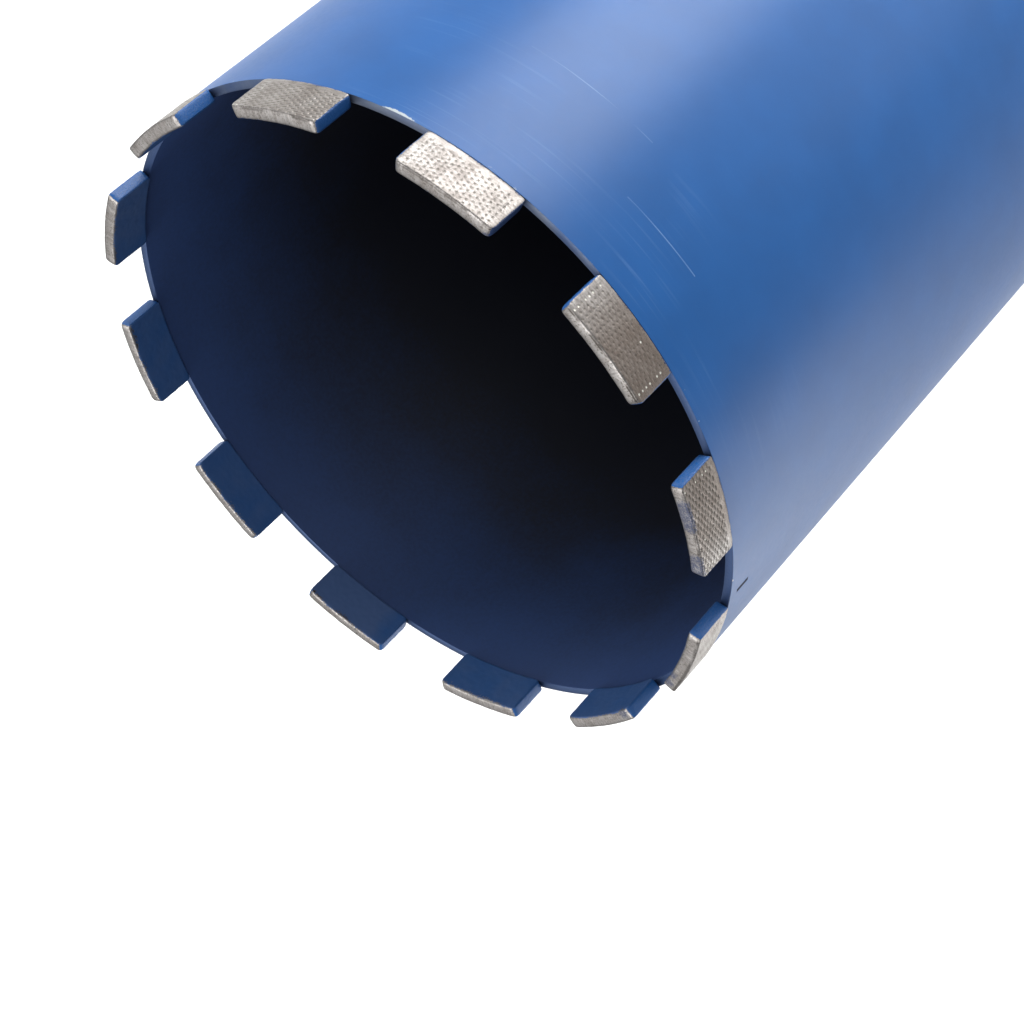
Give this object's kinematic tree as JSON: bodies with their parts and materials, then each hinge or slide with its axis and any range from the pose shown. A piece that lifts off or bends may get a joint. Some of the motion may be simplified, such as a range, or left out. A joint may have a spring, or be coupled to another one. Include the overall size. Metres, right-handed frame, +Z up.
{
  "type": "diamond core bit",
  "caption": "Thin-walled steel core drill barrel with a crown of spaced diamond segments on its open rim and a threaded spindle hub at its back.",
  "frame": {"origin": "centre of the hub's mouth face, which is the lowest face of the bit standing on its hub", "axes": "+Z up the axis from the hub to the cutting crown, +X through the middle of segment_01, +Y normal to a spanner flat"},
  "size_m": [0.162, 0.162, 0.5077],
  "materials": {
    "barrel_paint": "satin blue paint",
    "hub_steel": "turned steel",
    "segment_metal": "ground metal bond with diamonds, blue paint on the ends and the inside"
  },
  "bodies": {
    "root": {"barrel": "barrel_paint", "back_plate": "barrel_paint", "barrel_weld": "barrel_paint", "hub": "hub_steel", "hub_weld": "barrel_paint", "segment_01": "segment_metal", "segment_02": "segment_metal", "segment_03": "segment_metal", "segment_04": "segment_metal", "segment_05": "segment_metal", "segment_06": "segment_metal", "segment_07": "segment_metal", "segment_08": "segment_metal", "segment_09": "segment_metal", "segment_10": "segment_metal", "segment_11": "segment_metal", "segment_12": "segment_metal"}
  },
  "joints": []
}
